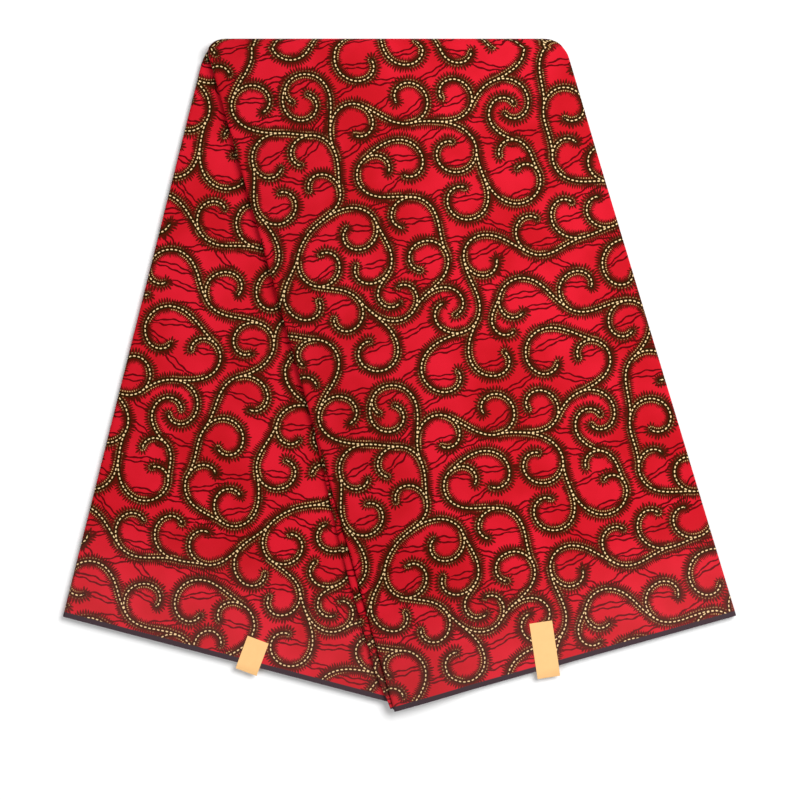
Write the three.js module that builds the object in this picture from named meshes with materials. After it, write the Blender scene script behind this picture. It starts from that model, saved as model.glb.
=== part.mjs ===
// A length of printed cotton, folded edge to edge into a long strip and then laid in half over a top fold.
// The back half leans to the lower left, and the front half lies over it and leans to the lower right.
// Lengths are in mm. X runs to the right, Y towards the top fold, and Z up from the table.
import * as THREE from "three";

// Heights. The pressed stack of one half is its hidden layers and one outer sheet.
const SHEET = 1.2; // wall of an outer sheet
const SEAM = 0.3; // gap between neighbouring pieces
const STACK = 6.4; // hidden layers of one half, pressed
const HALF = STACK + SEAM + SHEET; // one half of the fold, on the table
const SLOT = SHEET + 2 * SEAM; // room between the halves for the back sheet
const AXIS_Z = STACK + SLOT / 2; // height that the top fold turns about
const TABLE_GAP = 0.05; // the front sheet's lower end stops this far above the table

// Plan of the fold, as x and y of its corners.
const HALF_DEPTH = 305.8; // from the centre to the top fold and to the lowest corner
const STRIP_WIDTH = 323; // the cloth's folded width
const FOLD_ENDS = { back: { left: -176.9, right: 148 }, front: { left: -175.4, right: 151 } };
const SELVEDGE = {
  back: { left: [-306.4, -219.8], right: [6.3, -301.6] },
  front: { left: [-4.6, -HALF_DEPTH], right: [306.4, -218.9] },
};
const FOLD_CORNER = { left: 17, right: 18 }; // plan radius of the two ends of the top fold
const FOLD_START = -Math.PI / 2; // the top fold turns from the back half's side
const FOLD_END = Math.PI / 2; // up to the front half's side
const TOP_RADIUS = AXIS_Z - STACK + HALF; // outer radius of the top fold
const FOLD_Y = HALF_DEPTH - TOP_RADIUS; // line that the top fold turns about

// Rounded edge of an outer sheet, and the folds that show below it.
const EDGE_RADIUS = 2.6;
const EDGE_STEPS = 3;
const EDGE_FOLDS = 3; // rounded folds drawn up each side of the hidden layers
const EDGE_HEIGHT = HALF - EDGE_RADIUS - SEAM; // height of those folds together
const FOLD_CREST = 0.1; // how far in from the edge a fold's crest lies
const FOLD_GROOVE = 0.9; // how far in a groove between two folds lies
const CREST_SHARE = 0.27; // a crest's start and end, as a share of its fold's height
const ROWS_A_FOLD = 3; // crest start, crest end and groove
const CORNER_ROOM = 1.2; // the hidden layers keep this much further in at the top fold's corners

// The lower folds of the front half slip out to the left towards the selvedge, and end short of it.
const SLIP = { reach: 7.3, from: 0.52, to: 0.8, folds: 2, short: 8 };

// Where the front half comes down off the back half's right edge.
const RAMP = { start: 10, end: 70 };

// Broad soft hollows and swellings of the two visible panels, from one end to the other.
const frontCreases = [
  { from: [-104, 120], to: [12, -262], width: 13, rise: -0.8 },
  { from: [38, 236], to: [128, -40], width: 34, rise: 0.9 },
  { from: [196, 70], to: [262, -168], width: 24, rise: -0.8 },
  { from: [44, -170], to: [176, -206], width: 26, rise: 0.7 },
];
const backCreases = [
  { from: [-214, 118], to: [-268, -118], width: 19, rise: -0.8 },
  { from: [-158, 60], to: [-126, -206], width: 27, rise: 0.9 },
  { from: [-74, -106], to: [-52, -262], width: 15, rise: -0.6 },
];
const CREASE_CALM = 60; // the panels are calm this near the top fold

// Paper labels stuck across the selvedges. The lean is in degrees, to the right going down.
const PAPER = 0.8;
const labels = {
  back_label: { half: "back", centre: [-134.1, -255.5], width: 20.4, length: 31.6, lean: -20.5 },
  front_label: { half: "front", centre: [132.1, -250], width: 20.8, length: 51, lean: 8.5 },
};
const LABEL_DROOP = 0.03; // fall of the free end, for each mm past the selvedge, squared

// Spacing of the mesh.
const COLUMN_STEP = 18;
const STATION_STEP = { front: 26, back: 45 };
const BEND_STEPS = 8;
const LABEL_MESH = { columns: 4, stations: 9 };
const nearEdge = [5, 11, 20];
const nearFold = [0.008, 0.025];

const mix = (a, b, t) => a + (b - a) * t;
const smooth = (low, high, value) => THREE.MathUtils.smoothstep(value, low, high);

// A soft band along a straight line, highest in its middle and fading over its width and its ends.
function creaseHeight({ from, to, width, rise }, x, y) {
  const along = [to[0] - from[0], to[1] - from[1]];
  const lengthSquared = along[0] ** 2 + along[1] ** 2;
  const share = ((x - from[0]) * along[0] + (y - from[1]) * along[1]) / lengthSquared;
  const nearest = THREE.MathUtils.clamp(share, 0, 1);
  const away = Math.hypot(x - from[0] - nearest * along[0], y - from[1] - nearest * along[1]);
  return rise * Math.exp(-((away / width) ** 2));
}

function relief(half, x, y) {
  const table = half === "front" ? frontCreases : backCreases;
  const calm = smooth(0, CREASE_CALM, FOLD_Y - FOLD_CORNER.left - y);
  return calm * table.reduce((sum, crease) => sum + creaseHeight(crease, x, y), 0);
}

// How far in the strip's edge lies at a depth below the top of the fold: a quarter circle, then none.
function cornerInset(radius, depth) {
  const short = THREE.MathUtils.clamp(radius - depth, 0, radius);
  return radius - Math.sqrt(radius ** 2 - short ** 2);
}

// The strip narrows towards its two rounded corners: moves a plan x for its place across and its y.
function narrowed(x, y, across) {
  const depth = HALF_DEPTH - y;
  const left = cornerInset(FOLD_CORNER.left, depth);
  const right = cornerInset(FOLD_CORNER.right, depth);
  return x + left * (1 - across) - right * across;
}

const foldX = (half, across) => mix(FOLD_ENDS[half].left, FOLD_ENDS[half].right, across);

// Plan place of a half: across runs from its left edge to its right one, down from fold to selvedge.
function planPoint(half, across, down) {
  const { left, right } = SELVEDGE[half];
  const x = mix(foldX(half, across), mix(left[0], right[0], across), down);
  const y = mix(FOLD_Y, mix(left[1], right[1], across), down);
  return [narrowed(x, y, across), y];
}

// Height that the front half rests at: on the back half, and down to the table right of its edge.
function restHeight(x, y) {
  const top = [FOLD_ENDS.back.right, FOLD_Y];
  const bottom = SELVEDGE.back.right;
  const edge = [bottom[0] - top[0], bottom[1] - top[1]];
  const beyond = (edge[0] * (y - top[1]) - edge[1] * (x - top[0])) / Math.hypot(...edge);
  return (HALF + SEAM + relief("back", x, y)) * (1 - smooth(RAMP.start, RAMP.end, beyond));
}

// Height of a point of a half, given its height above the half's underside.
function lift(half, x, y, height) {
  const share = THREE.MathUtils.clamp(height / STACK, 0, 1);
  const rest = half === "front" ? restHeight(x, y) : 0;
  return rest + height + share * relief(half, x, y);
}

// A point of the folded strip. The rise is counted from the side that faces the other half, outwards.
function stripPoint(station, across, rise) {
  if (station.half === "bend") {
    const radius = SLOT / 2 + rise;
    const turned = smooth(FOLD_START, FOLD_END, station.angle);
    const x = mix(foldX("back", across), foldX("front", across), turned);
    const y = FOLD_Y + radius * Math.cos(station.angle);
    return [narrowed(x, y, across), y, AXIS_Z + radius * Math.sin(station.angle)];
  }
  const [x, y] = planPoint(station.half, across, station.down);
  const height = station.half === "front" ? rise : STACK - rise;
  return [x, y, lift(station.half, x, y, height)];
}

// A closed solid from a block of points: its rows, columns and stations give the six sides.
function blockSolid(rows, columns, stations, pointAt) {
  const positions = [];
  const triangles = [];
  const numbers = new Map();
  const vertex = (place) => {
    const key = place.join();
    if (!numbers.has(key)) {
      numbers.set(key, positions.length / 3);
      positions.push(...pointAt(...place));
    }
    return numbers.get(key);
  };
  const size = [rows, columns, stations];
  for (let fixed = 0; fixed < 3; fixed++) {
    const first = (fixed + 1) % 3;
    const second = (fixed + 2) % 3;
    for (const end of [0, size[fixed] - 1]) {
      for (let i = 0; i < size[first] - 1; i++) {
        for (let j = 0; j < size[second] - 1; j++) {
          const at = (di, dj) => {
            const place = [0, 0, 0];
            place[fixed] = end;
            place[first] = i + di;
            place[second] = j + dj;
            return vertex(place);
          };
          const [a, b, c, d] = [at(0, 0), at(1, 0), at(1, 1), at(0, 1)];
          if (end === 0) triangles.push(a, c, b, a, d, c);
          else triangles.push(a, b, c, a, c, d);
        }
      }
    }
  }
  const geometry = new THREE.BufferGeometry();
  geometry.setAttribute("position", new THREE.Float32BufferAttribute(positions, 3));
  geometry.setIndex(triangles);
  geometry.computeVertexNormals();
  return geometry;
}

// Places across the strip, in mm from its left edge, between the two rounded edges.
function innerColumns() {
  const left = nearEdge[nearEdge.length - 1];
  const right = STRIP_WIDTH - left;
  const count = Math.round((right - left) / COLUMN_STEP);
  const middle = Array.from({ length: count - 1 }, (_, i) => mix(left, right, (i + 1) / count));
  return [...nearEdge, ...middle, ...nearEdge.toReversed().map((inset) => STRIP_WIDTH - inset)];
}

// Stations down a half, from just below the top fold to the selvedge.
function limbStations(half) {
  const count = Math.round((2 * HALF_DEPTH) / STATION_STEP[half]);
  const start = nearFold[nearFold.length - 1];
  const rest = Array.from({ length: count }, (_, i) => mix(start, 1, (i + 1) / count));
  return [...nearFold, ...rest].map((down) => ({ half, down }));
}

// Stations round the top fold, from an angle below the table side up to the front half.
function bendStations(startAngle) {
  return Array.from({ length: BEND_STEPS + 1 }, (_, i) => ({
    half: "bend",
    angle: mix(startAngle, FOLD_END, i / BEND_STEPS),
  }));
}

// Side of the hidden layers, from the underside up: rounded folds, then the step in under the sheet.
function sideProfile() {
  const side = [{ inset: FOLD_GROOVE, height: 0 }];
  const fold = EDGE_HEIGHT / EDGE_FOLDS;
  for (let i = 0; i < EDGE_FOLDS; i++) {
    const last = i === EDGE_FOLDS - 1;
    side.push({ inset: FOLD_CREST, height: fold * (i + CREST_SHARE) });
    side.push({ inset: FOLD_CREST, height: fold * (i + 1 - CREST_SHARE) });
    side.push({ inset: last ? SHEET + SEAM : FOLD_GROOVE, height: fold * (i + 1) });
  }
  const inner = EDGE_RADIUS - SHEET - SEAM;
  for (let i = 0; i <= EDGE_STEPS; i++) {
    const angle = (Math.PI / 2) * (i / EDGE_STEPS);
    side.push({
      inset: EDGE_RADIUS - inner * Math.cos(angle),
      height: HALF - EDGE_RADIUS + inner * Math.sin(angle),
    });
  }
  return side;
}

// Rows of the hidden layers at a station, from the inner side of the strip out. Each half has its
// sheet's step at its top, so the rows change ends low in the top fold.
function layerRows(station, side) {
  const front = side.map(({ inset, height }) => ({ inset, rise: height }));
  const back = side.toReversed().map(({ inset, height }) => ({ inset, rise: STACK - height }));
  const inFold = smooth(FOLD_START, FOLD_START + Math.PI / 6, station.angle);
  const turned = { front: 1, back: 0, bend: inFold }[station.half];
  return front.map((row, i) => ({
    inset: mix(back[i].inset, row.inset, turned),
    rise: mix(back[i].rise, row.rise, turned),
  }));
}

// One in the top fold, and fading to nothing down each half.
function foldShare(station) {
  return station.half === "bend" ? 1 : 1 - smooth(0, nearFold[nearFold.length - 1], station.down);
}

function hiddenLayers() {
  const side = sideProfile();
  const columns = innerColumns();
  const stations = [
    ...limbStations("back").reverse(),
    ...bendStations(FOLD_START),
    ...limbStations("front"),
  ];
  const slippedRows = SLIP.folds * ROWS_A_FOLD;
  return blockSolid(side.length, columns.length + 2, stations.length, (row, column, number) => {
    const station = stations[number];
    const rows = layerRows(station, side);
    const { rise } = rows[row];
    const slips = station.half === "front" && row < slippedRows && column === 0;
    const slip = slips ? SLIP.reach * smooth(SLIP.from, SLIP.to, station.down) : 0;
    const inset = rows[row].inset + CORNER_ROOM * foldShare(station);
    let place = columns[column - 1];
    if (column === 0) place = inset - slip;
    if (column === columns.length + 1) place = STRIP_WIDTH - inset;
    const isEnd = number === 0 || number === stations.length - 1;
    const short = Math.min(rows[row].inset, FOLD_GROOVE) + (slips ? SLIP.short : 0);
    const ended = isEnd ? { ...station, down: station.down - short / (2 * HALF_DEPTH) } : station;
    return stripPoint(ended, place / STRIP_WIDTH, rise);
  });
}

// An outer sheet: a wall with both side edges rounded down, as rows inner and outer.
function outerSheet(stations, riseOf) {
  const flat = innerColumns();
  const turn = Array.from({ length: EDGE_STEPS + 1 }, (_, i) => (Math.PI / 2) * (i / EDGE_STEPS));
  const count = flat.length + 2 * turn.length;
  const section = (row, column) => {
    const radius = row === 0 ? EDGE_RADIUS - SHEET : EDGE_RADIUS;
    const mirrored = column >= count - turn.length;
    const step = mirrored ? count - 1 - column : column;
    if (step >= turn.length) {
      return { place: flat[column - turn.length], height: HALF - EDGE_RADIUS + radius };
    }
    const inset = EDGE_RADIUS - radius * Math.cos(turn[step]);
    return {
      place: mirrored ? STRIP_WIDTH - inset : inset,
      height: HALF - EDGE_RADIUS + radius * Math.sin(turn[step]),
    };
  };
  return blockSolid(2, count, stations.length, (row, column, number) => {
    const { place, height } = section(row, column);
    return stripPoint(stations[number], place / STRIP_WIDTH, riseOf(height));
  });
}

// The front sheet runs from the table up round the top fold and down to its selvedge.
function frontPanel() {
  const start = -Math.asin((AXIS_Z - TABLE_GAP) / TOP_RADIUS);
  const stations = [...bendStations(start), ...limbStations("front")];
  return outerSheet(stations, (height) => height);
}

// The back sheet lies on the back half and runs in under the front half to just short of the fold.
function backPanel() {
  const stations = limbStations("back").slice(1).reverse();
  return outerSheet(stations, (height) => STACK - height);
}

// How far a plan point lies below a half's selvedge.
function pastSelvedge(half, x, y) {
  const { left, right } = SELVEDGE[half];
  const selvedgeY = mix(left[1], right[1], (x - left[0]) / (right[0] - left[0]));
  return Math.max(selvedgeY - y, 0);
}

// A paper label: a thin plate on its panel, whose free end past the selvedge droops a little.
function paperLabel({ half, centre, width, length, lean }) {
  const angle = THREE.MathUtils.degToRad(lean);
  const { columns, stations } = LABEL_MESH;
  return blockSolid(2, columns, stations, (row, column, number) => {
    const u = width * (column / (columns - 1) - 0.5);
    const v = length * (number / (stations - 1) - 0.5);
    const x = centre[0] + u * Math.cos(angle) + v * Math.sin(angle);
    const y = centre[1] + u * Math.sin(angle) - v * Math.cos(angle);
    const base = lift(half, x, y, HALF) + SEAM - LABEL_DROOP * pastSelvedge(half, x, y) ** 2;
    return [x, y, base + (row === 0 ? 0 : PAPER)];
  });
}

// Turns a geometry's faces round if they point in, as they do when its rows run from below upwards.
function facingOut(geometry) {
  const { array } = geometry.attributes.position;
  const { array: index } = geometry.index;
  const at = (i) => new THREE.Vector3().fromArray(array, 3 * index[i]);
  let volume = 0;
  for (let i = 0; i < index.length; i += 3) volume += at(i).dot(at(i + 1).cross(at(i + 2)));
  if (volume < 0) {
    for (let i = 0; i < index.length; i += 3) {
      [index[i + 1], index[i + 2]] = [index[i + 2], index[i + 1]];
    }
    geometry.computeVertexNormals();
  }
  return geometry;
}

const cotton = () => new THREE.MeshStandardMaterial({ color: "#b5202c", roughness: 0.62, metalness: 0 });
const layered = () => new THREE.MeshStandardMaterial({ color: "#8e2028", roughness: 0.75, metalness: 0 });
const paper = () => new THREE.MeshStandardMaterial({ color: "#f8cf8c", roughness: 0.7, metalness: 0 });

const pieces = {
  hidden_layers: [hiddenLayers(), layered()],
  front_panel: [frontPanel(), cotton()],
  back_panel: [backPanel(), cotton()],
  front_label: [paperLabel(labels.front_label), paper()],
  back_label: [paperLabel(labels.back_label), paper()],
};

const fabric = new THREE.Group();
for (const [name, [geometry, material]] of Object.entries(pieces)) {
  const mesh = new THREE.Mesh(facingOut(geometry), material);
  mesh.name = name;
  fabric.add(mesh);
}

export default fabric;
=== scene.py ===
"""A length of wax print cotton, folded to a strip and laid in half over a top fold, on a floor.

Plan sizes are worked out in mm and made metres where a mesh is built. X runs to the right,
Y towards the top fold, and Z up from the floor.
"""

import bpy
import numpy as np
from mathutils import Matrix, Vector


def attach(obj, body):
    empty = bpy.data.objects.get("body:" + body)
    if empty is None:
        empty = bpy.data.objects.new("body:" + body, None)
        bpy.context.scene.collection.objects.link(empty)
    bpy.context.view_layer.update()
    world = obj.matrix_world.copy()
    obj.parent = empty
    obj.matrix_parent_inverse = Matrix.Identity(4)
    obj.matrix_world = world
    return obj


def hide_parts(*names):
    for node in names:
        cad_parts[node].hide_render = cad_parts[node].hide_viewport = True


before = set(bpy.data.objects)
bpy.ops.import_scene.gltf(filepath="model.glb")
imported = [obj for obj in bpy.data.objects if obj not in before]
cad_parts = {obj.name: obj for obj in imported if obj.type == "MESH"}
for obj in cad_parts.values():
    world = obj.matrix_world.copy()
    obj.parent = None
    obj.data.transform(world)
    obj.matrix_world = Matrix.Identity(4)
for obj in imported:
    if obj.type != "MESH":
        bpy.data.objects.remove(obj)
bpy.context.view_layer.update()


# ---- Turned layers -------------------------------------------------------------------------------
# All the cloth between and under the two outer sheets: one length of printed cotton, turned to and
# fro into a strip and laid in half over a top fold. 16 layers a half, pressed flat and not sewn,
# with rounded folds up each side and the cloth's selvedges at the lower ends.

STRIP = 323.0  # the strip's width
HALF_DEPTH = 305.8  # from the middle of the plan to the top fold's edge
TOP_RADIUS = 8.8  # of the outer sheet round the top fold
FOLD_Y = HALF_DEPTH - TOP_RADIUS
AXIS_Z = 7.3  # height that the top fold turns about
INNER_RADIUS = 0.9  # of the innermost layer round the top fold
CORNERS = (17.0, 18.0)  # plan radii of the top fold's left and right corners
HALF = 7.9  # thickness of one half
EDGE_RADIUS = 2.6  # of an outer sheet's turn down its sides
COTTON = 0.5  # wall of an outer sheet
LAYERS = 16
STACK = HALF - COTTON - 0.1  # height of the 16 layers
BACK_END = AXIS_Z - INNER_RADIUS  # height of the back half's layers where the top fold starts
LAYER = STACK / LAYERS
FOLD_ENDS = {"back": (-176.9, 148.0), "front": (-175.4, 151.0)}  # left and right, at the top fold
SELVEDGES = {  # left and right ends
    "back": ((-306.4, -219.8), (6.3, -301.6)),
    "front": ((-4.6, -305.8), (306.4, -218.9)),
}
SETTLES = (10, 70)  # mm beyond the back half's edge, over which the front half comes down
CREASES = {  # from, to, half width and rise, fading softly to all sides
    "front": [
        ((-104, 120), (12, -262), 13, -0.8),
        ((38, 236), (128, -40), 34, 0.9),
        ((196, 70), (262, -168), 24, -0.8),
        ((44, -170), (176, -206), 26, 0.7),
    ],
    "back": [
        ((-214, 118), (-268, -118), 19, -0.8),
        ((-158, 60), (-126, -206), 27, 0.9),
        ((-74, -106), (-52, -262), 15, -0.6),
    ],
}
CREASE_FREE = 17  # mm below the top fold, and then the creases grow
CREASE_GROWS = 60
CREASE_HEIGHT = 6.4  # above this height in a half its creases are full


def mix(a, b, share):
    """A share of the way from a to b."""
    return a + (b - a) * share


def smooth(low, high, value):
    """Rises from 0 at low to 1 at high as 3t^2 - 2t^3."""
    t = np.clip((value - low) / (high - low), 0, 1)
    return t * t * (3 - 2 * t)


def relief(half, x, y):
    """Sum of the half's creases: each is rise times exp(-(distance from its line / width)^2)."""
    total = np.zeros(np.broadcast(x, y).shape)
    for start, end, width, rise in CREASES[half]:
        run = np.subtract(end, start)
        share = ((x - start[0]) * run[0] + (y - start[1]) * run[1]) / (run @ run)
        share = np.clip(share, 0, 1)
        away = np.hypot(x - start[0] - share * run[0], y - start[1] - share * run[1])
        total = total + rise * np.exp(-((away / width) ** 2))
    return smooth(0, CREASE_GROWS, FOLD_Y - CREASE_FREE - y) * total


def narrowed(x, y, across):
    """Moves the strip's sides in round the fold's corners: radius - sqrt(radius^2 - short^2)."""

    def inset(radius):
        short = np.clip(radius - (HALF_DEPTH - y), 0, radius)
        return radius - np.sqrt(radius**2 - short**2)

    return x + inset(CORNERS[0]) * (1 - across) - inset(CORNERS[1]) * across


def fold_x(half, across):
    """Plan x at the top fold: a share of the way between its ends."""
    return mix(*FOLD_ENDS[half], across)


def plan(half, across, down):
    """Plan x and y: a share across from the left side, and a share down from the top fold."""
    (left_x, left_y), (right_x, right_y) = SELVEDGES[half]
    x = mix(fold_x(half, across), mix(left_x, right_x, across), down)
    y = mix(FOLD_Y, mix(left_y, right_y, across), down)
    return narrowed(x, y, across), y


def rest_height(x, y):
    """The front half lies on the back half, and comes down to the floor right of its edge."""
    top = np.array((FOLD_ENDS["back"][1], FOLD_Y))
    edge = SELVEDGES["back"][1] - top
    beyond = (edge[0] * (y - top[1]) - edge[1] * (x - top[0])) / np.hypot(*edge)
    return (HALF + 0.3 + relief("back", x, y)) * (1 - smooth(*SETTLES, beyond))


def lift(half, x, y, height):
    """Height above the floor of a point that is this far above its half's underside."""
    rest = rest_height(x, y) if half == "front" else 0
    return rest + height + np.clip(height / CREASE_HEIGHT, 0, 1) * relief(half, x, y)


def bend(angle, across, radius):
    """The top fold: a half circle about its axis, from the back half's ends to the front half's."""
    turned = smooth(-np.pi / 2, np.pi / 2, angle)
    x = mix(fold_x("back", across), fold_x("front", across), turned)
    y = FOLD_Y + radius * np.cos(angle)
    return np.stack([narrowed(x, y, across), y, AXIS_Z + radius * np.sin(angle)], -1)


def on_cloth(half, x, y):
    """Place on the cloth of a plan point: mm along its selvedge, and mm up from it."""
    left, right = SELVEDGES[half]
    run = np.subtract(right, left)
    run = run / np.hypot(*run)
    x, y = x - left[0], y - left[1]
    return np.stack([x * run[0] + y * run[1], y * run[0] - x * run[1]], -1)


def block_mesh(name, points, place):
    """Closed mesh of a block of points (rows, columns, stations, 3) in mm: its six sides.

    Returns the object and, for each face's corners, the place on the cloth.
    """
    number = np.arange(points[..., 0].size).reshape(points.shape[:3])
    faces = []
    for axis in range(3):
        for end in (0, -1):
            side = np.take(number, end, axis)
            quads = np.stack([side[:-1, :-1], side[1:, :-1], side[1:, 1:], side[:-1, 1:]], -1)
            turned = (end == 0) != (axis == 1)
            faces.append(quads.reshape(-1, 4)[:, :: -1 if turned else 1])
    faces = np.concatenate(faces)
    used, corners = np.unique(faces, return_inverse=True)
    corners = corners.reshape(-1, 4)
    at = points.reshape(-1, 3)[used] * 0.001
    a, b, c, d = (at[corners[:, i]] for i in range(4))
    volume = np.einsum("ij,ij->i", a, np.cross(b, c)) + np.einsum("ij,ij->i", a, np.cross(c, d))
    if volume.sum() < 0:  # the faces point inwards
        corners = corners[:, ::-1]
    mesh = bpy.data.meshes.new(name)
    mesh.from_pydata(at, [], corners)
    mesh.polygons.foreach_set("use_smooth", np.ones(len(corners), bool))
    mesh.set_sharp_from_angle(angle=np.radians(50))
    piece = bpy.data.objects.new(name, mesh)
    bpy.context.scene.collection.objects.link(piece)
    return piece, place.reshape(-1, 2)[used][corners]


SLIPPED_FOLDS = 4  # the lowest ones of the front half's left side
SLIP = 7.3  # how far they have slipped outwards
SLIP_GROWS = (0.52, 0.80)  # shares of the way down
SLIP_FADES = (0.93, 1.0)
SLIP_ENDS = [0.93, 0.7, 0.42, 0.2, 0.06, -0.05]  # share of the slip in the rows just above them
SLIP_RISE = [0.35, 0.6, 0.5, 0.1, -1.6, -1.7]  # and how far those rows stand up
FOLD_INSET = 1.2  # more, round the top fold


def layer_rows():
    """Height of each row through the stack, its share of the slip, and how far it stands up there.
    Four rows go to a layer, and some close ones lie above the slipped folds."""
    heights = np.linspace(0, STACK, 4 * LAYERS + 1)
    slip_top = SLIPPED_FOLDS * 2 * LAYER
    below = np.searchsorted(heights, slip_top + 1e-6)
    above = len(heights) - below
    close = slip_top + np.linspace(0.01, 0.06, len(SLIP_ENDS))
    heights = np.concatenate([heights[:below], close, heights[below:]])
    slipped = np.concatenate([np.ones(below), SLIP_ENDS, np.zeros(above)])
    ridge = np.concatenate([np.zeros(below), SLIP_RISE, np.zeros(above)])
    return heights, slipped, ridge


def layers_piece():
    """Rows go up through the stack, columns across the strip, and stations along it. Through each
    fold a swing goes from -1 to 1, and its side stands in by 0.42 |swing|^3. Folds are uneven:
    their inset also has a slow mean of sines along the strip."""
    heights, slipped, ridge = layer_rows()
    fold = np.floor(np.clip(heights - 1e-6, 0, None) / (2 * LAYER)).astype(int)
    swing = 2 * (heights / (2 * LAYER) - fold) - 1
    groove = 0.42 * np.abs(swing) ** 3
    under = EDGE_RADIUS - COTTON - 0.12  # the top layers tuck in under the outer sheet's turn
    over = np.clip(heights - (HALF - EDGE_RADIUS), 0, under)
    tucked = EDGE_RADIUS - np.sqrt(under**2 - over**2)
    shows = heights < HALF - EDGE_RADIUS - 0.25
    side_arc = np.concatenate([[0], np.cumsum(np.hypot(np.diff(heights), np.diff(groove)))])

    close = np.array([5, 11, 20])
    inner = np.linspace(20, STRIP - 20, 26)[1:-1]
    columns = np.concatenate([close, inner, STRIP - close[::-1]])
    down = np.concatenate([[0.004, 0.008, 0.016, 0.025], np.linspace(0.025, 1, 190)[1:]])
    angles = np.linspace(-np.pi / 2, np.pi / 2, 17)
    stations = [("back", share) for share in down[::-1]]
    stations += [("bend", angle) for angle in angles]
    stations += [("front", share) for share in down]
    run = np.concatenate([-620 * down[::-1] - 8, 8 * angles / 1.6, 620 * down + 8])  # about in mm
    shape = (len(heights), len(columns) + 2, len(stations))
    points = np.zeros(shape + (3,))
    place = np.zeros(shape + (2,))

    rng = np.random.default_rng(5)
    waves = rng.uniform(0, 2 * np.pi, (2, 3, 9))
    lengths = np.array([61.0, 143.0, 27.0])
    end_offset = rng.uniform(0.1, 0.9, LAYERS + 1)
    layer = np.minimum(np.floor(heights / LAYER + 1e-6).astype(int), LAYERS)
    end_groove = 0.3 * np.abs(2 * (heights / LAYER - layer) - 1) ** 4
    for number, (half, value) in enumerate(stations):
        fold_share = 1.0 if half == "bend" else 1 - smooth(0, 0.025, value)
        uneven = []
        for edge in range(2):
            amount = np.sin(run[number] / lengths[:, None] + waves[edge]).mean(0) * 0.5 + 0.35
            uneven.append(np.clip(amount, 0, 0.8)[np.minimum(fold, 8)])
        turned = {"front": 1.0, "back": 0.0}.get(half, smooth(-np.pi / 2, -np.pi / 3, value))
        front_side = [np.where(shows, groove + u + 0.05, tucked) for u in uneven]
        back_side = [side[::-1] for side in front_side]
        sides = [
            mix(back, front, turned) + FOLD_INSET * fold_share
            for back, front in zip(back_side, front_side)
        ]
        reach = 0.0
        if half == "front":
            reach = SLIP * smooth(*SLIP_GROWS, value) * (1 - 0.55 * smooth(*SLIP_FADES, value))
        across = np.empty(shape[:2])
        across[:, 1:-1] = columns
        across[:, 0] = sides[0] - slipped * reach
        across[:, -1] = STRIP - sides[1]
        flat = across.copy()  # the same, with the sides unrolled, for the place on the cloth
        flat[:, 0] = -side_arc + reach * (1 - slipped)
        flat[:, -1] = STRIP + side_arc
        share = across / STRIP
        rise = heights[:, None] * np.ones(shape[1])
        if half == "bend":
            thick = mix(BACK_END, STACK, smooth(-np.pi / 2, -np.pi / 6, value))
            points[:, :, number] = bend(value, share, INNER_RADIUS + rise / STACK * thick)
            y = FOLD_Y + TOP_RADIUS * (np.pi / 2 - value)
            x = fold_x("front", flat / STRIP)
            place[:, :, number] = on_cloth("front", x, y * np.ones(shape[:2]))
            continue
        if number in (0, len(stations) - 1):  # the ends of the layers, each a little short
            short = np.repeat((end_offset[layer] + end_groove)[:, None], shape[1], 1)
            if half == "back":
                short = short[::-1]
            short[:, 0] += 8 * slipped if half == "front" else 0
            value = value - short / (2 * HALF_DEPTH)
        x, y = plan(half, share, value)
        if half == "front":
            height = rise.copy()
            height[:, 0] += ridge * smooth(0.5, 3.0, reach)
        else:
            height = mix(BACK_END, STACK, smooth(0, 0.05, value)) * (1 - rise / STACK)
        points[:, :, number] = np.stack([x, y, lift(half, x, y, height)], -1)
        place[:, :, number] = on_cloth(half, *plan(half, flat / STRIP, value))
    return block_mesh("folded_layers", points, place)


folded_layers, layers_place = layers_piece()
layers_place = layers_place + np.array([137.0, 0.0])  # not the sheets' stretch of the repeat

# The print's lines. Branching scrolls fill a repeat of 330 by 293 mm: each grows out of another
# one, along its line, then curls in. Fine veins run in pairs between them.

REPEAT = np.array([330.0, 293.0])
CELLS = np.array([165, 146])  # of the repeat's ground, in which distances to scrolls are kept
STEP = 1.5  # between the points of a scroll's line
FAR = 60.0
DASH = 4.0  # from one dash to the next
TIP_RADIUS = 10.5
TIP_LENGTH = 40
OWN_STRETCH = 200  # mm along that each scroll has to itself, so that no two have the same hairs
FIRST_START, START_EVERY = 6, 3  # points along a scroll, where others may leave it
JOINED = 6  # points of a new scroll that may still lie close to others
PARTED_AT, CLEAR_AT = 20, 30  # mm along a new scroll, where it stands off the one it leaves
LONG_SCROLLS = {  # these grow first, close beside one another
    "seed": 11,
    "lengths": (98, 108, 118, 128),
    "bends": (-22, -10, 4, 16),  # at the start, in 1/m
    "curls": (18.5, 21.5),  # radius that they curl in to
    "until": 0.72,  # share of a scroll, up to which others leave it
    "parted": 4.5,  # least distance from the scroll it leaves, at the first of those
    "clear": 12.6,  # and beyond the second
    "others": 13.2,  # least distance from all others
    "tail": 30,  # mm along, beyond which its mean distance from all is weighed
    "weights": (-0.7, 0.06, 1.6),  # of that distance, of its length, and of chance
}
SHORT_SCROLLS = {  # and these grow into the gaps that are left
    "seed": 1,
    "lengths": (54, 63, 72, 82, 92, 104),
    "bends": (-22, -10, 4, 16, 30),
    "curls": (13.0, 15.5, 18.5),
    "until": 0.8,
    "parted": 4.2,
    "clear": 10.5,
    "others": 10.5,
    "tail": 24,
    "weights": (1.0, 0.05, 0.6),
}
VEIN_TRIES = 9000
VEIN_REACH = (9, 25)  # half a vein's length
VEIN_LEAN = (0.04, 0.27)  # mean and spread, in radians
VEINS_APART = 18.0


def wrapped(offset):
    """The offset to the nearest copy in the repeat."""
    return offset - REPEAT * np.round(offset / REPEAT)


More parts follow.
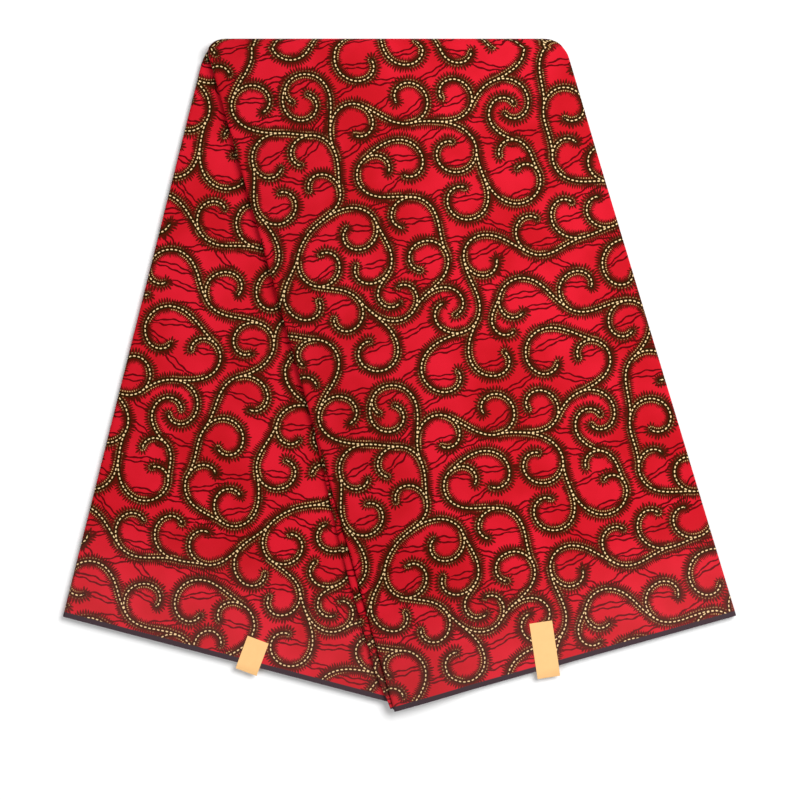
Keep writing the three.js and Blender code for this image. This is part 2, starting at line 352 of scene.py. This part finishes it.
def drawn_line(points, start, side=1.0):
    """A line to print: its points about their own middle, tangents, normals to its inner side and
    place along it. The normal is the tangent turned a quarter to the left, times the side."""
    tangent = np.gradient(points, axis=0)
    tangent /= np.linalg.norm(tangent, axis=1)[:, None]
    middle = (points.max(0) + points.min(0)) / 2
    step = np.linalg.norm(np.diff(points, axis=0), axis=1)
    return {
        "middle": middle,
        "points": points - middle,
        "room": (points.max(0) - points.min(0)) / 2,
        "tangent": tangent,
        "normal": np.stack([-tangent[:, 1], tangent[:, 0]], -1) * side,
        "along": start + np.concatenate([[0], np.cumsum(step)]),
        "step": step.mean(),
    }


def scroll_path(shape, side, origin, facing):
    """Points and headings of a scroll, or of one from each origin. Its bend goes from its first one
    to 1/curl over its first half, and tightens to 1/10.5 mm over its last 40 mm. Heading and place
    are the running sums of bend and of heading."""
    length, first, radius = shape
    s = np.arange(round(length / STEP) + 1) * STEP
    curl = 1 / radius
    turn = mix(first / 1000, curl, smooth(0, length / 2, s))
    turn += (1 / TIP_RADIUS - curl) * smooth(length - TIP_LENGTH, length - 2, s)
    heading = side * np.concatenate([[0], np.cumsum((turn[1:] + turn[:-1]) / 2 * STEP)])
    heading = heading + np.asarray(facing)[..., None]
    middle = (heading[..., 1:] + heading[..., :-1]) / 2
    steps = np.stack([np.cos(middle), np.sin(middle)], -1) * STEP
    return origin[..., None, :] + np.insert(np.cumsum(steps, -2), 0, 0, -2), heading


def draw_scrolls(scrolls, root, facing):
    """Paths of all scrolls. The first two leave the root in opposite directions, and every other
    one leaves its parent's path at the point that it starts from."""
    drawn = []
    for number, (parent, start, side, shape) in enumerate(scrolls):
        if number < 2:
            origin, heading = root, facing + np.pi * number
        else:
            origin, heading = (values[start] for values in drawn[parent])
        drawn.append(scroll_path(shape, side, origin, heading))
    return drawn


def ground_distance(points):
    """Distance from the middle of each cell of ground to every other point of a path."""
    middles = [(np.arange(count) + 0.5) * size / count for count, size in zip(CELLS, REPEAT)]
    ground = np.stack(np.meshgrid(*middles, indexing="ij"), -1).reshape(-1, 2)
    gap = wrapped(ground[:, None] - points[::2])
    return np.hypot(gap[..., 0], gap[..., 1]).min(1)


def cells_crossed(points):
    """Number of the cell of ground that each point lies in."""
    cell = np.floor(np.mod(points, REPEAT) / REPEAT * CELLS).astype(int) % CELLS
    return cell[..., 0] * CELLS[1] + cell[..., 1]


def scroll_shapes(kind):
    """Every length with every first bend and every curl."""
    return [(a, b, c) for a in kind["lengths"] for b in kind["bends"] for c in kind["curls"]]


def ways_to_leave(parent, path, distance, kind):
    """All ways in which a new scroll may leave this one: to a side, with a shape, from several
    starts along it, with the cells it then crosses, and which starts keep clear of this scroll."""
    points, heading = path
    starts = np.arange(FIRST_START, int(kind["until"] * len(points)), START_EVERY)
    ways = []
    for side in (1, -1):
        for shape in scroll_shapes(kind):
            new_points, _ = scroll_path(shape, side, points[starts], heading[starts])
            crossed = cells_crossed(new_points)
            s = np.arange(crossed.shape[1]) * STEP
            away = distance[crossed]
            fits = away[:, s > CLEAR_AT].min(1) > kind["clear"]
            fits &= away[:, np.searchsorted(s, PARTED_AT)] > kind["parted"]
            ways.append((parent, starts, side, shape, crossed, s > kind["tail"], fits))
    return ways


def grow(scrolls, drawn, kind, rng):
    """Adds scrolls one by one, each the best of all ways that fit, until none fits. The score is
    the sum of the tail's mean distance from all scrolls, the length, and chance, each weighted."""
    by_distance, by_length, by_chance = kind["weights"]
    distance = [ground_distance(points) for points, _ in drawn]
    ways = []
    for parent, path in enumerate(drawn):
        ways += ways_to_leave(parent, path, distance[parent], kind)
    while True:
        nearest = np.min(distance, 0)
        others = [np.min(distance[:n] + distance[n + 1 :], 0) for n in range(len(distance))]
        best_score, best = -np.inf, None
        for parent, starts, side, shape, crossed, tail, fits in ways:
            fits[fits] = others[parent][crossed[fits, JOINED:]].min(1) > kind["others"]
            if not fits.any():
                continue
            score = by_distance * nearest[crossed[:, tail]].mean(1)
            score = score + rng.normal(0, by_chance, len(starts)) + by_length * shape[0]
            score = np.where(fits, score, -np.inf)
            if score.max() > best_score:
                best_score, best = score.max(), (parent, starts[score.argmax()], side, shape)
        if best is None:
            return
        parent, start, side, shape = best
        points, heading = drawn[parent]
        scrolls.append(best)
        drawn.append(scroll_path(shape, side, points[start], heading[start]))
        distance.append(ground_distance(drawn[-1][0]))
        ways = [way for way in ways if way[-1].any()]
        ways += ways_to_leave(len(drawn) - 1, drawn[-1], distance[-1], kind)


def grown_scrolls():
    """Each scroll's parent, start, side and shape, and their paths. The long ones grow from a
    seeded root. The short ones grow once the paths are drawn again from that root, rounded."""
    rng = np.random.default_rng(LONG_SCROLLS["seed"])
    root, facing = REPEAT * rng.random(2), rng.uniform(0, 2 * np.pi)
    shapes = scroll_shapes(LONG_SCROLLS)
    scrolls = [(0, 0, 1, shapes[rng.integers(len(shapes))]) for _ in range(2)]
    grow(scrolls, draw_scrolls(scrolls, root, facing), LONG_SCROLLS, rng)
    drawn = draw_scrolls(scrolls, np.round(root, 1), np.round(facing, 3))
    grow(scrolls, drawn, SHORT_SCROLLS, np.random.default_rng(SHORT_SCROLLS["seed"]))
    return scrolls, drawn


def scroll_lines():
    """The grown scrolls as lines to print, each cut to end between two of its dashes."""
    scrolls, drawn = grown_scrolls()
    lines = []
    for number, (parent, at, side, _) in enumerate(scrolls):
        points, _ = drawn[number]
        s = np.arange(len(points)) * STEP
        phase = (lines[parent]["along"][at] if lines else 0.0) % DASH
        start = DASH * np.ceil(OWN_STRETCH * number / DASH) + phase  # dashes meet at the branching
        from_gap = np.abs((start + s[-3:] + DASH / 2) % DASH - DASH / 2)
        stop = len(s) - 2 + np.argmin(from_gap)
        lines.append(drawn_line(points[:stop], start, side))
    return lines


def vein_lines(scrolls):
    """Pairs of wavy lines, a sum of two sines each, that start and end under a scroll and cross
    open ground. Of many seeded places those are kept that lie so, apart from one another."""
    rng = np.random.default_rng(21)
    middles = rng.uniform(0, 1, (VEIN_TRIES, 2)) * REPEAT
    reach = rng.uniform(*VEIN_REACH, VEIN_TRIES)
    lean = rng.normal(*VEIN_LEAN, VEIN_TRIES)
    ahead = np.stack([np.cos(lean), np.sin(lean)], -1) * reach[:, None]
    clear = []
    for place in (middles - ahead, middles, middles + ahead):
        nearest = np.full(VEIN_TRIES, FAR)
        for line in scrolls:
            gap = wrapped(place - line["middle"])[:, None] - line["points"][None, ::3]
            nearest = np.minimum(nearest, np.hypot(gap[..., 0], gap[..., 1]).min(1))
        clear.append(nearest)
    good = (clear[0] < 4.5) & (clear[2] < 4.5) & (clear[1] > 8.5)
    lines, kept = [], []
    for pick in np.nonzero(good)[0]:
        offset = wrapped(middles[kept] - middles[pick])
        if kept and np.linalg.norm(offset, axis=1).min() < VEINS_APART:
            continue
        kept.append(pick)
        t = np.arange(-reach[pick], reach[pick] + 1, 1.2)
        aside = np.array([np.sin(lean[pick]), -np.cos(lean[pick])])
        for edge in (-1, 1):
            phase = rng.uniform(0, 2 * np.pi, 2)
            wave = 1.0 * np.sin(t / 4.1 + phase[0]) + 0.65 * np.sin(t / 1.7 + phase[1])
            off = edge * 2.3 * (1 - 0.45 * np.abs(t / reach[pick])) + wave * 0.75
            points = middles[pick] + t[:, None] / reach[pick] * ahead[pick] + off[:, None] * aside
            lines.append(drawn_line(points, 60.0 * len(lines)))
    return lines


def nearest_lines(place, lines, count, reach):
    """For each face's corners, place along and beside its nearest drawn lines.

    A face belongs to the line nearest to its centre. Each corner walks along that line until it
    stands square to it: along = arc length, beside = distance on the inner side. Beyond the line's
    tip it goes round it: along = end + 4 mm times the angle, beside = distance from the tip.
    """
    centre = place.mean(1)
    near = np.full((count, len(place)), FAR)
    found = np.zeros((count, len(place), 4, 2))
    found[..., 1] = FAR
    for line in lines:
        offset = wrapped(centre - line["middle"])
        rows = np.nonzero((np.abs(offset) < line["room"] + reach).all(1))[0]
        gap = offset[rows, None] - line["points"]
        apart = np.hypot(gap[..., 0], gap[..., 1])
        first = apart.argmin(1)
        apart = apart.min(1)
        keep = apart < reach
        rows, first, apart = rows[keep], first[keep], apart[keep]
        corner = offset[rows, None] + place[rows] - centre[rows, None]
        index = np.repeat(first[:, None], 4, 1)
        last = len(line["points"]) - 1
        for _ in range(4):
            gap = corner - line["points"][index]
            ahead = (gap * line["tangent"][index]).sum(-1)
            index = np.clip(index + np.round(0.8 * ahead / line["step"]).astype(int), 0, last)
        gap = corner - line["points"][index]
        ahead = (gap * line["tangent"][index]).sum(-1)
        beside = (gap * line["normal"][index]).sum(-1)
        middle = offset[rows] - line["points"][first]
        side = np.where((middle * line["normal"][first]).sum(-1) < 0, -1.0, 1.0)[:, None]
        tip = (index == last) & (ahead > 0)
        angle = np.arctan2(ahead, beside * side)
        along = line["along"][index] + np.where(tip, 4 * angle, ahead)
        beside = np.where(tip, side * np.hypot(ahead, beside), beside)
        behind = (first == 0) & ((middle * line["tangent"][first]).sum(-1) < -1.5)
        apart = np.where(behind, FAR, apart)
        new = np.stack([along, beside], -1)
        for rank in range(count):  # the nearest first, and each passes the one it beats on
            better = apart < near[rank, rows]
            old, old_near = found[rank, rows], near[rank, rows]
            found[rank, rows] = np.where(better[:, None, None], new, old)
            near[rank, rows] = np.where(better, apart, old_near)
            new = np.where(better[:, None, None], old, new)
            apart = np.where(better, old_near, apart)
    return found


scrolls = scroll_lines()
veins = vein_lines(scrolls)


def print_maps(piece, place):
    """UV maps of a cloth piece, in metres: ClothPlace, and the place along and beside its three
    nearest scrolls and its nearest vein."""
    maps = {"ClothPlace": place, "VeinLine": nearest_lines(place, veins, 1, 5.0)[0]}
    maps |= dict(zip(("ScrollA", "ScrollB", "ScrollC"), nearest_lines(place, scrolls, 3, 13.0)))
    for name, values in maps.items():
        layer = piece.data.uv_layers.new(name=name)
        layer.data.foreach_set("uv", (values * 0.001).astype(np.float32).ravel())


# The print's colours, and the groups that draw it from those maps. Widths are in mm.

GROUND = ((0.48, 0.0062, 0.013, 1), (0.61, 0.0098, 0.024, 1))  # red, deeper and brighter
VEIN_INK = (0.085, 0.001, 0.002, 1)
BRISTLE_INK = ((0.017, 0.003, 0.0005, 1), (0.074, 0.006, 0.001, 1))  # the hairs, and between them
LINE_INK = (0.022, 0.0072, 0.0004, 1)
DOT_COLOUR = (0.70, 0.46, 0.17, 1)
DASH_COLOUR = (0.86, 0.61, 0.31, 1)
# painted light: pale red laid over the ground near the selvedge ends, so they look more brightly
# lit
PAINTED_LIGHT_RED = (0.80, 0.25, 0.25, 1)
SELVEDGE_INK = (0.054, 0.034, 0.041, 1)
THREAD = 0.0008  # metres from one thread of the weave to the next but one
DASH_STRAIGHT, DASH_RADIUS = 0.62, 0.5  # half the dash's straight part, and its round end
DOT, DOT_AWAY, DOT_RADIUS = 2.5, 3.0, 0.55  # from one to the next, away from the line, and radius
HAIR = 1.9  # from one bristle to the next
HAIR_LENGTH, HAIR_VARIES, HAIR_OUTER = 6.1, 1.8, 0.7  # from the line's middle, and what is added


class Nodes:
    """Short calls for building a node tree."""

    def __init__(self, tree):
        self.tree = tree

    def add(self, kind, inputs=(), **settings):
        """A node with its settings, and its inputs by name or number: a value, or a socket."""
        node = self.tree.nodes.new(kind)
        for name, value in settings.items():
            setattr(node, name, value)
        for name, value in dict(inputs).items():
            if isinstance(value, bpy.types.NodeSocket):
                self.tree.links.new(value, node.inputs[name])
            else:
                node.inputs[name].default_value = value
        return node

    def math(self, operation, *values):
        return self.add("ShaderNodeMath", enumerate(values), operation=operation).outputs[0]

    def step(self, value, low, high, to_low=0.0, to_high=1.0):
        """Smooth step of a value between two limits, which may be sockets."""
        inputs = {0: value, 1: low, 2: high, 3: to_low, 4: to_high}
        return self.add("ShaderNodeMapRange", inputs, interpolation_type="SMOOTHSTEP").outputs[0]

    def blend(self, share, a, b, blend_type="MIX"):
        inputs = {0: share, 6: a, 7: b}
        node = self.add("ShaderNodeMix", inputs, data_type="RGBA", blend_type=blend_type)
        return node.outputs[2]

    def noise(self, vector, scale, detail=2.0, dimensions="3D"):
        inputs = {"Scale": scale, "Detail": detail, "W" if dimensions == "1D" else "Vector": vector}
        return self.add("ShaderNodeTexNoise", inputs, noise_dimensions=dimensions).outputs[0]

    def split(self, vector):
        return self.add("ShaderNodeSeparateXYZ", {0: vector}).outputs

    def uv(self, name):
        return self.add("ShaderNodeUVMap", uv_map=name).outputs[0]


VECTOR, VALUE, COLOUR = "NodeSocketVector", "NodeSocketFloat", "NodeSocketColor"


def shader_group(name, inputs, outputs):
    """Empty node group with these inputs and outputs, by name and kind. Returns its nodes, the
    sockets that bring its inputs, and those that take its outputs."""
    tree = bpy.data.node_groups.new(name, "ShaderNodeTree")
    for socket, kind in inputs.items():
        tree.interface.new_socket(socket, in_out="INPUT", socket_type=kind)
    for socket, kind in outputs.items():
        tree.interface.new_socket(socket, in_out="OUTPUT", socket_type=kind)
    nodes = Nodes(tree)
    return nodes, nodes.add("NodeGroupInput").outputs, nodes.add("NodeGroupOutput").inputs


def scroll_group():
    """Masks of one scroll, from its map of (place along, place beside): the bristles, the gaps
    between hairs, the dark line in the middle, the dashes on it, and the dots at its sides."""
    nodes, inputs, outputs = shader_group(
        "Scroll Line",
        {"Line": VECTOR, "Place": VECTOR},
        {"Bristles": VALUE, "Core": VALUE, "Dashes": VALUE, "Dots": VALUE, "Gaps": VALUE},
    )
    link = nodes.tree.links.new
    parts = nodes.split(inputs["Line"])
    along = nodes.math("MULTIPLY", parts[0], 1000.0)
    shake = nodes.math("SUBTRACT", nodes.noise(inputs["Place"], 260.0), 0.5)
    beside = nodes.math("MULTIPLY", parts[1], 1000.0)
    beside = nodes.math("MULTIPLY_ADD", shake, 0.9, beside)
    away = nodes.math("ABSOLUTE", beside)

    def cell(period):
        """Whole number of the cell along, and the distance in mm from its middle."""
        count = nodes.math("DIVIDE", along, period)
        whole = nodes.math("FLOOR", count)
        inside = nodes.math("SUBTRACT", nodes.math("SUBTRACT", count, whole), 0.5)
        return whole, nodes.math("ABSOLUTE", nodes.math("MULTIPLY", inside, period))

    def disc(x, y, radius):
        """1 within the radius of a place that is x and y mm away."""
        square = nodes.math("ADD", nodes.math("POWER", x, 2.0), nodes.math("POWER", y, 2.0))
        return nodes.step(nodes.math("SQRT", square), radius - 0.18, radius + 0.18, 1.0, 0.0)

    _, from_middle = cell(DASH)
    past = nodes.math("MAXIMUM", nodes.math("SUBTRACT", from_middle, DASH_STRAIGHT), 0.0)
    link(disc(past, away, DASH_RADIUS), outputs["Dashes"])
    link(nodes.step(away, 1.9, 2.5, 1.0, 0.0), outputs["Core"])

    # dots come and go along the line, and most of them lie on its inner side
    stretch = nodes.math("MULTIPLY", along, 0.035)
    stretch = nodes.math("MULTIPLY_ADD", nodes.math("SIGN", beside), 37.0, stretch)
    shown = nodes.step(nodes.noise(stretch, 1.0, 1.0, "1D"), 0.42, 0.6)
    _, from_dot = cell(DOT)
    dots = disc(from_dot, nodes.math("SUBTRACT", away, DOT_AWAY), DOT_RADIUS)
    shown = nodes.math("MULTIPLY", shown, nodes.step(beside, -0.3, 0.3, 0.35, 0.8))
    link(nodes.math("MULTIPLY", dots, shown), outputs["Dots"])

    # hairs taper over their last 3 mm, and grow from a solid base
    whole, from_hair = cell(HAIR)
    seed = nodes.add("ShaderNodeTexWhiteNoise", {"W": whole}, noise_dimensions="1D").outputs[0]
    outer = nodes.step(beside, -0.3, 0.3, HAIR_OUTER, 0.0)
    length = nodes.math("MULTIPLY_ADD", seed, HAIR_VARIES, HAIR_LENGTH)
    left = nodes.math("SUBTRACT", nodes.math("ADD", length, outer), away)
    width = nodes.step(left, -0.2, 3.2, 0.2, 0.8)
    hair = nodes.step(nodes.math("SUBTRACT", from_hair, width), -0.16, 0.16, 1.0, 0.0)
    hair = nodes.math("MULTIPLY", hair, nodes.step(left, 0.0, 0.3))
    base = nodes.step(away, 3.5, 4.9, 1.0, 0.0)
    link(nodes.math("MAXIMUM", hair, base), outputs["Bristles"])
    link(nodes.step(from_hair, 0.35, 0.8), outputs["Gaps"])
    return nodes.tree


def print_group():
    """Colour of the print, how much of it is ink, and the height of the weave: red ground with a
    slow change of tone, veins, then the three nearest scrolls one over another, and painted light
    that makes it a little paler towards the dark selvedge. The colour is multiplied by the painted
    shade."""
    nodes, inputs, outputs = shader_group(
        "Wax Print",
        {"Depth": VALUE},
        {"Colour": COLOUR, "Ink": VALUE, "Weave": VALUE},
    )
    link = nodes.tree.links.new
    place = nodes.uv("ClothPlace")
    tone = nodes.step(nodes.noise(place, 14.0, 3.0), 0.35, 0.65)
    colour = nodes.blend(tone, *GROUND)
    vein_width = nodes.step(nodes.noise(place, 200.0), 0.35, 0.7, 0.58, 1.0)
    vein_away = nodes.math("MULTIPLY", nodes.split(nodes.uv("VeinLine"))[1], 1000.0)
    vein_away = nodes.math("ABSOLUTE", vein_away)
    vein = nodes.step(nodes.math("SUBTRACT", vein_away, vein_width), -0.16, 0.2, 0.97, 0.0)
    colour = nodes.blend(vein, colour, VEIN_INK)

    group = scroll_group()
    masks = {}
    for name in ("ScrollC", "ScrollB", "ScrollA"):
        sockets = {"Line": nodes.uv(name), "Place": place}
        node = nodes.add("ShaderNodeGroup", node_tree=group)
        for socket, value in sockets.items():
            link(value, node.inputs[socket])
        for mask in ("Bristles", "Core", "Dashes", "Dots", "Gaps"):
            value = node.outputs[mask]
            masks[mask] = nodes.math("MAXIMUM", masks[mask], value) if mask in masks else value
    smudge = nodes.step(nodes.noise(place, 500.0, 1.0), 0.25, 0.75, 0.35, 1.0)
    bristle = nodes.blend(nodes.math("MULTIPLY", masks["Gaps"], smudge), *BRISTLE_INK)
    colour = nodes.blend(nodes.math("MULTIPLY", masks["Bristles"], 0.95), colour, bristle)
    beyond_core = nodes.math("SUBTRACT", 1.0, masks["Core"])
    colour = nodes.blend(nodes.math("MULTIPLY", masks["Dots"], beyond_core), colour, DOT_COLOUR)
    colour = nodes.blend(masks["Core"], colour, LINE_INK)
    colour = nodes.blend(masks["Dashes"], colour, DASH_COLOUR)
    spot = nodes.split(place)
    # painted light: the ground up to 6% paler within 12 cm of the selvedge
    colour = nodes.blend(nodes.step(spot[1], 0.0, 0.12, 0.06, 0.0), colour, PAINTED_LIGHT_RED)
    colour = nodes.blend(nodes.step(spot[1], 0.0042, 0.0050, 1.0, 0.0), colour, SELVEDGE_INK)
    # painted shade: the print's colour is multiplied by a grey of this factor
    painted_shade_grey = nodes.add("ShaderNodeCombineColor", {i: inputs["Depth"] for i in range(3)}).outputs[0]
    link(nodes.blend(1.0, colour, painted_shade_grey, "MULTIPLY"), outputs["Colour"])
    link(nodes.math("MAXIMUM", masks["Core"], masks["Bristles"]), outputs["Ink"])

    def thread(axis):
        return nodes.math("SINE", nodes.math("MULTIPLY", spot[axis], 2 * np.pi / THREAD))

    link(nodes.math("MULTIPLY", thread(0), thread(1)), outputs["Weave"])
    return nodes.tree


wax_print = print_group()


def cotton(name, painted_shade_levels, roughness):
    """Printed cotton: the print's colour, a fine plain weave, and slightly glossier where inked.
    The colour is multiplied by a painted shade that goes from the first value at the strip's left
    to the second, 18 cm in."""
    material = bpy.data.materials.new(name)
    material.use_nodes = True
    nodes = Nodes(material.node_tree)
    link = material.node_tree.links.new
    shader = material.node_tree.nodes["Principled BSDF"]
    place = nodes.uv("ClothPlace")
    drawn = nodes.add("ShaderNodeGroup", node_tree=wax_print)
    # painted shade: the colour darker or lighter over the strip's first 18 cm, as shade falls
    link(nodes.step(nodes.split(place)[0], 0.0, 0.18, *painted_shade_levels), drawn.inputs["Depth"])
    link(drawn.outputs["Colour"], shader.inputs["Base Color"])
    gloss = nodes.step(drawn.outputs["Ink"], 0.0, 1.0, roughness, roughness - 0.12)
    link(gloss, shader.inputs["Roughness"])
    rumple = nodes.math("MULTIPLY_ADD", nodes.noise(place, 60.0, 3.0), 3.0, drawn.outputs["Weave"])
    bump = {"Height": rumple, "Strength": 0.25, "Distance": 0.00012}
    link(nodes.add("ShaderNodeBump", bump).outputs[0], shader.inputs["Normal"])
    shader.inputs["Specular IOR Level"].default_value = 0.02
    return material


print_maps(folded_layers, layers_place)
# painted shade: the turned layers' print darkened to 0.88 all over
folded_layers.data.materials.append(cotton("Folded Layers", (0.88, 0.88), 0.75))
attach(folded_layers, "root")
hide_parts("hidden_layers")


# ---- Back half -----------------------------------------------------------------------------------
# The printed sheet on the lower half, from its selvedge in under the front half to just short of
# the top fold. It is the same cotton as the layers: one thin closed wall, turned down both sides.


def outer_sheet(name, half, angles, down):
    """Two rows of points, the inner and the outer face. Across, each side turns down a quarter
    circle. Along are angles round the top fold, if any, then shares of the way down."""
    turn = np.linspace(0, np.pi / 2, 5)
    columns = np.linspace(EDGE_RADIUS + 1, STRIP - EDGE_RADIUS - 1, 134)
    arc = EDGE_RADIUS * (np.pi / 2 - turn)
    unrolled = np.concatenate([EDGE_RADIUS - arc, columns, STRIP - EDGE_RADIUS + arc[::-1]])
    flat = (unrolled / STRIP)[:, None]
    points = np.zeros((2, len(unrolled), len(angles) + len(down), 3))
    place = np.zeros(points.shape[:3] + (2,))
    drop = HALF - EDGE_RADIUS
    for row, radius in enumerate((EDGE_RADIUS - COTTON, EDGE_RADIUS)):
        inset = EDGE_RADIUS - radius * np.cos(turn)
        rise = radius * np.sin(turn)
        share = (np.concatenate([inset, columns, STRIP - inset[::-1]]) / STRIP)[:, None]
        height = drop + np.concatenate([rise, np.full(len(columns), radius), rise[::-1]])[:, None]
        if len(angles):
            around = angles[None]
            points[row, :, : len(angles)] = bend(around, share, TOP_RADIUS - HALF + height)
            above = FOLD_Y + TOP_RADIUS * (np.pi / 2 - around) + 0 * flat
            place[row, :, : len(angles)] = on_cloth(half, fold_x(half, flat) + 0 * above, above)
        x, y = plan(half, share, down[None])
        points[row, :, len(angles) :] = np.stack([x, y, lift(half, x, y, height + 0 * x)], -1)
        place[row, :, len(angles) :] = on_cloth(half, *plan(half, flat, down[None]))
    return block_mesh(name, points, place)


def sheet_piece(name, half, angles, down, shift):
    """Builds an outer sheet with its print, moved along the repeat, puts it on the root body, and
    hides the CAD part that it stands for.
    """
    piece, place = outer_sheet(name, half, angles, down)
    print_maps(piece, place + np.array([shift, 0.0]))
    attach(piece, "root")
    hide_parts(half + "_panel")
    return piece


back_down = np.linspace(0.025, 1, 240)
back_sheet = sheet_piece(
    "back_sheet", "back", np.array([]), back_down, 196.0
)
# painted shade: the back half full bright along its outer left side, darkened to 0.94 from 18 cm in
back_sheet.data.materials.append(cotton("Back Cotton", (1.0, 0.94), 0.65))


# ---- Front half ----------------------------------------------------------------------------------
# The printed sheet on the upper half, from its selvedge up, round the top fold and down to the
# floor. The same cotton again. It lies on the back half, and beyond its edge comes down beside it.

front_start = -np.arcsin((AXIS_Z - 0.05) / TOP_RADIUS)  # round the fold, just above the floor
front_angles = np.linspace(front_start, np.pi / 2, 15)[:-1]
front_down = np.linspace(0, 1, 250)
front_sheet = sheet_piece(
    "front_sheet", "front", front_angles, front_down, 0.0
)
# painted shade: the front half darkened to 0.87 along its left side at the fold line, full from 18
# cm in
front_sheet.data.materials.append(cotton("Front Cotton", (0.87, 1.0), 0.65))


# ---- Paper labels --------------------------------------------------------------------------------
# A plain slip of cream paper on each half, stuck to the printed sheet across its selvedge. Its free
# end stands out past the selvedge, a little lower.

PAPER = 0.3  # thickness
SLOPE = 0.029  # mm that it falls for each mm past the selvedge, squared


def paper_material():
    """Matt cream paper with a faint mottling."""
    material = bpy.data.materials.new("Cream Paper")
    material.use_nodes = True
    nodes = Nodes(material.node_tree)
    shader = material.node_tree.nodes["Principled BSDF"]
    where = nodes.add("ShaderNodeTexCoord").outputs["Object"]
    mottling = nodes.noise(where, 180.0)
    colour = nodes.blend(mottling, (0.81, 0.465, 0.187, 1), (0.86, 0.51, 0.212, 1))
    material.node_tree.links.new(colour, shader.inputs["Base Color"])
    shader.inputs["Roughness"].default_value = 0.7
    shader.inputs["Specular IOR Level"].default_value = 0.25
    return material


def paper_label(half, centre, width, length, lean, material):
    """A plate on its sheet, leaning by this many degrees. Past the selvedge it falls by the slope
    times the distance squared."""
    u = width * np.linspace(-0.5, 0.5, 12)[:, None]
    v = length * np.linspace(-0.5, 0.5, 28)[None]
    cos, sin = np.cos(np.radians(lean)), np.sin(np.radians(lean))
    x = centre[0] + u * cos + v * sin
    y = centre[1] + u * sin - v * cos
    past = np.clip(-on_cloth(half, x, y)[..., 1], 0, None)
    base = lift(half, x, y, HALF) + 0.1 - SLOPE * past**2
    points = np.stack([np.stack([x, y, base + thick], -1) for thick in (0.0, PAPER)])
    piece, _ = block_mesh(half + "_paper", points, np.zeros(points.shape[:3] + (2,)))
    piece.data.materials.append(material)
    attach(piece, "root")
    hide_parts(half + "_label")


paper = paper_material()
paper_label("back", (-134.1, -255.5), 20.4, 31.6, -20.5, paper)
paper_label("front", (132.1, -250.0), 20.8, 51.0, 8.5, paper)


# ---- Floor, light and camera ---------------------------------------------------------------------
# The cloth lies on a pale matt floor, in soft light from the upper right and a weak one opposite.
# The camera looks straight down through a long lens.

CAMERA_HEIGHT = 3.0
CLOTH_TOP = 0.012  # about its middle height
IN_VIEW = 0.7265  # metres across the picture, at that height


def add_floor():
    """A matt plane of 12 m, nearly white."""
    bpy.ops.mesh.primitive_plane_add(size=12, location=(0, 0, 0))
    floor = bpy.context.object
    floor.name = "floor"
    material = bpy.data.materials.new("Pale Floor")
    material.use_nodes = True
    shader = material.node_tree.nodes["Principled BSDF"]
    shader.inputs["Base Color"].default_value = (0.9, 0.9, 0.9, 1)
    shader.inputs["Roughness"].default_value = 0.9
    shader.inputs["Specular IOR Level"].default_value = 0.1
    floor.data.materials.append(material)


def add_light(name, place, size, power):
    """A round area light that faces the middle of the cloth."""
    data = bpy.data.lights.new(name, "AREA")
    data.shape = "DISK"
    data.size = size
    data.energy = power
    light = bpy.data.objects.new(name, data)
    light.location = place
    light.rotation_euler = (-Vector(place)).to_track_quat("-Z", "Y").to_euler()
    bpy.context.scene.collection.objects.link(light)


add_floor()
add_light("Key", (1.1, 0.8, 2.1), 1.6, 62)
add_light("Fill", (-1.5, -0.8, 1.8), 1.6, 9)

world = bpy.data.worlds.new("Studio")
world.use_nodes = True
world.node_tree.nodes["Background"].inputs["Color"].default_value = (1, 1, 1, 1)
world.node_tree.nodes["Background"].inputs["Strength"].default_value = 0.5
bpy.context.scene.world = world
bpy.context.scene.view_settings.view_transform = "Standard"

camera_data = bpy.data.cameras.new("camera")
camera = bpy.data.objects.new("camera", camera_data)
camera.location = (0.0004, -0.0228, CAMERA_HEIGHT)
camera_data.sensor_width = 36
camera_data.lens = 36 * (CAMERA_HEIGHT - CLOTH_TOP) / IN_VIEW
camera_data.clip_end = 30
bpy.context.scene.collection.objects.link(camera)
bpy.context.scene.camera = camera
